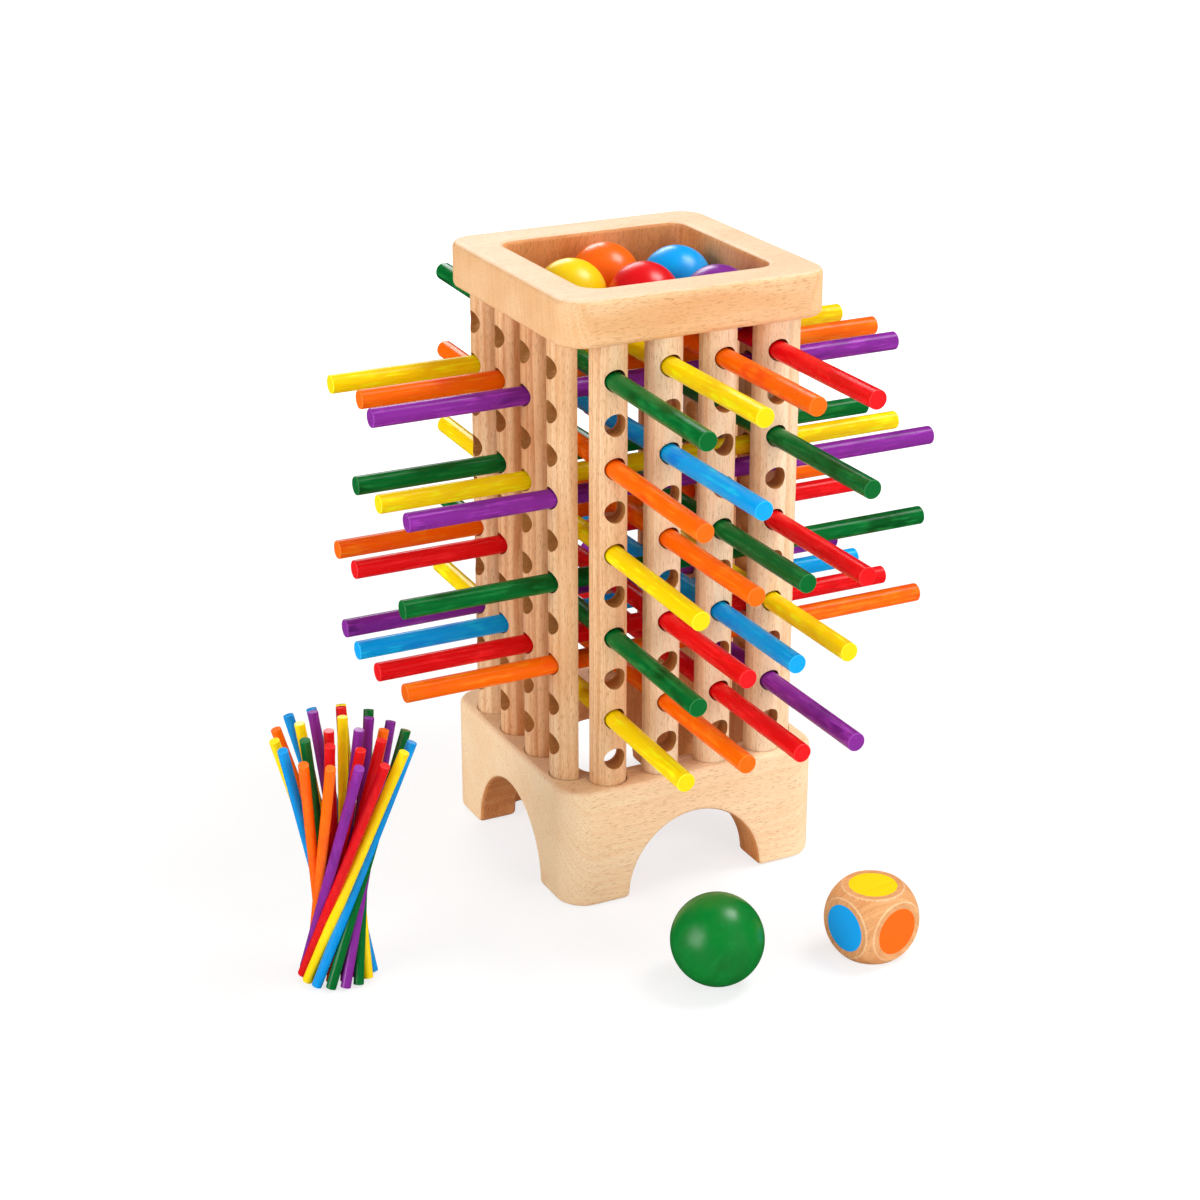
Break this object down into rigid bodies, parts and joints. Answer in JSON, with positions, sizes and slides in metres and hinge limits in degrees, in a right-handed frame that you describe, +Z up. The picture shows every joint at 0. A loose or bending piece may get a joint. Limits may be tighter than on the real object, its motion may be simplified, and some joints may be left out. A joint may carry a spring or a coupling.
{
  "type": "peg drop toy",
  "caption": "Wooden peg drop game: a square tower of pierced posts holds painted sticks that carry balls in its tray until they are pulled, with a colour die and spare sticks.",
  "frame": {"origin": "on the floor, below the middle of the whole set's outline", "axes": "+Z up, +X along the set's longest side, with the spare sticks at -X and the loose ball and die at -Y"},
  "size_m": [0.3168, 0.2885, 0.2648],
  "materials": {
    "beech": "satin",
    "post_wood": "satin",
    "die_wood": "satin",
    "spare_sticks": "satin",
    "stick_green": "satin",
    "ball_green": "gloss",
    "stick_yellow": "satin",
    "ball_yellow": "gloss",
    "stick_orange": "satin",
    "ball_orange": "gloss",
    "stick_red": "satin",
    "ball_red": "gloss",
    "stick_blue": "satin",
    "ball_blue": "gloss",
    "stick_purple": "satin",
    "ball_purple": "gloss"
  },
  "bodies": {
    "tower": {"base_block": "beech", "post_back_1": "post_wood", "post_back_2": "post_wood", "post_back_3": "post_wood", "post_back_4": "post_wood", "post_front_1": "post_wood", "post_front_2": "post_wood", "post_front_3": "post_wood", "post_front_4": "post_wood", "post_left_1": "post_wood", "post_left_2": "post_wood", "post_left_3": "post_wood", "post_left_4": "post_wood", "post_right_1": "post_wood", "post_right_2": "post_wood", "post_right_3": "post_wood", "post_right_4": "post_wood", "tray_frame": "beech"},
    "ball_blue": {"ball_blue": "ball_blue"},
    "ball_green": {"ball_green": "ball_green"},
    "ball_orange": {"ball_orange": "ball_orange"},
    "ball_purple": {"ball_purple": "ball_purple"},
    "ball_red": {"ball_red": "ball_red"},
    "ball_yellow": {"ball_yellow": "ball_yellow"},
    "colour_die": {"colour_die": "die_wood"},
    "spare_stick_bundle": {"spare_stick_bundle": "spare_sticks"},
    "stick_level1_column1_green": {"stick_level1_column1_green": "stick_green"},
    "stick_level1_column2_yellow": {"stick_level1_column2_yellow": "stick_yellow"},
    "stick_level1_column3_orange": {"stick_level1_column3_orange": "stick_orange"},
    "stick_level1_column4_red": {"stick_level1_column4_red": "stick_red"},
    "stick_level2_row2_purple": {"stick_level2_row2_purple": "stick_purple"},
    "stick_level2_row3_orange": {"stick_level2_row3_orange": "stick_orange"},
    "stick_level2_row4_yellow": {"stick_level2_row4_yellow": "stick_yellow"},
    "stick_level3_column1_orange": {"stick_level3_column1_orange": "stick_orange"},
    "stick_level3_column2_blue": {"stick_level3_column2_blue": "stick_blue"},
    "stick_level3_column4_green": {"stick_level3_column4_green": "stick_green"},
    "stick_level4_row1_purple": {"stick_level4_row1_purple": "stick_purple"},
    "stick_level4_row2_yellow": {"stick_level4_row2_yellow": "stick_yellow"},
    "stick_level4_row3_green": {"stick_level4_row3_green": "stick_green"},
    "stick_level5_column1_yellow": {"stick_level5_column1_yellow": "stick_yellow"},
    "stick_level5_column2_orange": {"stick_level5_column2_orange": "stick_orange"},
    "stick_level5_column3_green": {"stick_level5_column3_green": "stick_green"},
    "stick_level5_column4_red": {"stick_level5_column4_red": "stick_red"},
    "stick_level6_row1_green": {"stick_level6_row1_green": "stick_green"},
    "stick_level6_row3_red": {"stick_level6_row3_red": "stick_red"},
    "stick_level6_row4_orange": {"stick_level6_row4_orange": "stick_orange"},
    "stick_level7_column1_green": {"stick_level7_column1_green": "stick_green"},
    "stick_level7_column2_red": {"stick_level7_column2_red": "stick_red"},
    "stick_level7_column3_blue": {"stick_level7_column3_blue": "stick_blue"},
    "stick_level7_column4_yellow": {"stick_level7_column4_yellow": "stick_yellow"},
    "stick_level8_row1_orange": {"stick_level8_row1_orange": "stick_orange"},
    "stick_level8_row2_red": {"stick_level8_row2_red": "stick_red"},
    "stick_level8_row3_blue": {"stick_level8_row3_blue": "stick_blue"},
    "stick_level8_row4_purple": {"stick_level8_row4_purple": "stick_purple"},
    "stick_level9_column1_yellow": {"stick_level9_column1_yellow": "stick_yellow"},
    "stick_level9_column2_orange": {"stick_level9_column2_orange": "stick_orange"},
    "stick_level9_column3_red": {"stick_level9_column3_red": "stick_red"},
    "stick_level9_column4_purple": {"stick_level9_column4_purple": "stick_purple"}
  },
  "joints": [
    {"name": "ball_blue_lift", "type": "slide", "parent": "tower", "child": "ball_blue", "axis": [0, 0, 1], "range_m": [0, 0.06]},
    {"name": "ball_green_lift", "type": "slide", "parent": "tower", "child": "ball_green", "axis": [0, -0.6, 0.8], "range_m": [0, 0.1]},
    {"name": "ball_orange_lift", "type": "slide", "parent": "tower", "child": "ball_orange", "axis": [0, 0, 1], "range_m": [0, 0.06]},
    {"name": "ball_purple_lift", "type": "slide", "parent": "tower", "child": "ball_purple", "axis": [0, 0, 1], "range_m": [0, 0.06]},
    {"name": "ball_red_lift", "type": "slide", "parent": "tower", "child": "ball_red", "axis": [0, 0, 1], "range_m": [0, 0.06]},
    {"name": "ball_yellow_lift", "type": "slide", "parent": "tower", "child": "ball_yellow", "axis": [0, 0, 1], "range_m": [0, 0.06]},
    {"name": "colour_die_lift", "type": "slide", "parent": "tower", "child": "colour_die", "axis": [0, -0.6, 0.8], "range_m": [0, 0.1]},
    {"name": "spare_stick_bundle_lift", "type": "slide", "parent": "tower", "child": "spare_stick_bundle", "axis": [0, 0, 1], "range_m": [0, 0.1]},
    {"name": "stick_level1_column1_green_slide", "type": "slide", "parent": "tower", "child": "stick_level1_column1_green", "axis": [0, 0.9996, 0.0293], "range_m": [-0.19, 0.19]},
    {"name": "stick_level1_column2_yellow_slide", "type": "slide", "parent": "tower", "child": "stick_level1_column2_yellow", "axis": [0, 1, 0], "range_m": [-0.19, 0.19]},
    {"name": "stick_level1_column3_orange_slide", "type": "slide", "parent": "tower", "child": "stick_level1_column3_orange", "axis": [0, 1, 0], "range_m": [-0.19, 0.19]},
    {"name": "stick_level1_column4_red_slide", "type": "slide", "parent": "tower", "child": "stick_level1_column4_red", "axis": [0, 1, 0], "range_m": [-0.19, 0.19]},
    {"name": "stick_level2_row2_purple_slide", "type": "slide", "parent": "tower", "child": "stick_level2_row2_purple", "axis": [1, 0, 0], "range_m": [-0.19, 0.19]},
    {"name": "stick_level2_row3_orange_slide", "type": "slide", "parent": "tower", "child": "stick_level2_row3_orange", "axis": [1, 0, 0], "range_m": [-0.19, 0.19]},
    {"name": "stick_level2_row4_yellow_slide", "type": "slide", "parent": "tower", "child": "stick_level2_row4_yellow", "axis": [1, 0, 0], "range_m": [-0.19, 0.19]},
    {"name": "stick_level3_column1_orange_slide", "type": "slide", "parent": "tower", "child": "stick_level3_column1_orange", "axis": [0, 0.9996, 0.0293], "range_m": [-0.19, 0.19]},
    {"name": "stick_level3_column2_blue_slide", "type": "slide", "parent": "tower", "child": "stick_level3_column2_blue", "axis": [0, 1, 0], "range_m": [-0.19, 0.19]},
    {"name": "stick_level3_column4_green_slide", "type": "slide", "parent": "tower", "child": "stick_level3_column4_green", "axis": [0, 1, 0], "range_m": [-0.19, 0.19]},
    {"name": "stick_level4_row1_purple_slide", "type": "slide", "parent": "tower", "child": "stick_level4_row1_purple", "axis": [1, 0, 0], "range_m": [-0.19, 0.19]},
    {"name": "stick_level4_row2_yellow_slide", "type": "slide", "parent": "tower", "child": "stick_level4_row2_yellow", "axis": [1, 0, 0], "range_m": [-0.19, 0.19]},
    {"name": "stick_level4_row3_green_slide", "type": "slide", "parent": "tower", "child": "stick_level4_row3_green", "axis": [1, 0, 0], "range_m": [-0.19, 0.19]},
    {"name": "stick_level5_column1_yellow_slide", "type": "slide", "parent": "tower", "child": "stick_level5_column1_yellow", "axis": [0, 0.9996, 0.0293], "range_m": [-0.19, 0.19]},
    {"name": "stick_level5_column2_orange_slide", "type": "slide", "parent": "tower", "child": "stick_level5_column2_orange", "axis": [0, 1, 0], "range_m": [-0.19, 0.19]},
    {"name": "stick_level5_column3_green_slide", "type": "slide", "parent": "tower", "child": "stick_level5_column3_green", "axis": [0, 1, 0], "range_m": [-0.19, 0.19]},
    {"name": "stick_level5_column4_red_slide", "type": "slide", "parent": "tower", "child": "stick_level5_column4_red", "axis": [0, 1, 0], "range_m": [-0.19, 0.19]},
    {"name": "stick_level6_row1_green_slide", "type": "slide", "parent": "tower", "child": "stick_level6_row1_green", "axis": [1, 0, 0], "range_m": [-0.19, 0.19]},
    {"name": "stick_level6_row3_red_slide", "type": "slide", "parent": "tower", "child": "stick_level6_row3_red", "axis": [1, 0, 0], "range_m": [-0.19, 0.19]},
    {"name": "stick_level6_row4_orange_slide", "type": "slide", "parent": "tower", "child": "stick_level6_row4_orange", "axis": [1, 0, 0], "range_m": [-0.19, 0.19]},
    {"name": "stick_level7_column1_green_slide", "type": "slide", "parent": "tower", "child": "stick_level7_column1_green", "axis": [0, 0.9996, 0.0293], "range_m": [-0.19, 0.19]},
    {"name": "stick_level7_column2_red_slide", "type": "slide", "parent": "tower", "child": "stick_level7_column2_red", "axis": [0, 1, 0], "range_m": [-0.19, 0.19]},
    {"name": "stick_level7_column3_blue_slide", "type": "slide", "parent": "tower", "child": "stick_level7_column3_blue", "axis": [0, 1, 0], "range_m": [-0.19, 0.19]},
    {"name": "stick_level7_column4_yellow_slide", "type": "slide", "parent": "tower", "child": "stick_level7_column4_yellow", "axis": [0, 1, 0], "range_m": [-0.19, 0.19]},
    {"name": "stick_level8_row1_orange_slide", "type": "slide", "parent": "tower", "child": "stick_level8_row1_orange", "axis": [1, 0, 0], "range_m": [-0.015, 0.19]},
    {"name": "stick_level8_row2_red_slide", "type": "slide", "parent": "tower", "child": "stick_level8_row2_red", "axis": [1, 0, 0], "range_m": [-0.19, 0.19]},
    {"name": "stick_level8_row3_blue_slide", "type": "slide", "parent": "tower", "child": "stick_level8_row3_blue", "axis": [1, 0, 0], "range_m": [-0.19, 0.19]},
    {"name": "stick_level8_row4_purple_slide", "type": "slide", "parent": "tower", "child": "stick_level8_row4_purple", "axis": [1, 0, 0], "range_m": [-0.19, 0.19]},
    {"name": "stick_level9_column1_yellow_slide", "type": "slide", "parent": "tower", "child": "stick_level9_column1_yellow", "axis": [0, 0.9996, 0.0293], "range_m": [-0.19, 0.19]},
    {"name": "stick_level9_column2_orange_slide", "type": "slide", "parent": "tower", "child": "stick_level9_column2_orange", "axis": [0, 1, 0], "range_m": [-0.19, 0.19]},
    {"name": "stick_level9_column3_red_slide", "type": "slide", "parent": "tower", "child": "stick_level9_column3_red", "axis": [0, 1, 0], "range_m": [-0.19, 0.19]},
    {"name": "stick_level9_column4_purple_slide", "type": "slide", "parent": "tower", "child": "stick_level9_column4_purple", "axis": [0, 1, 0], "range_m": [-0.19, 0.19]}
  ]
}
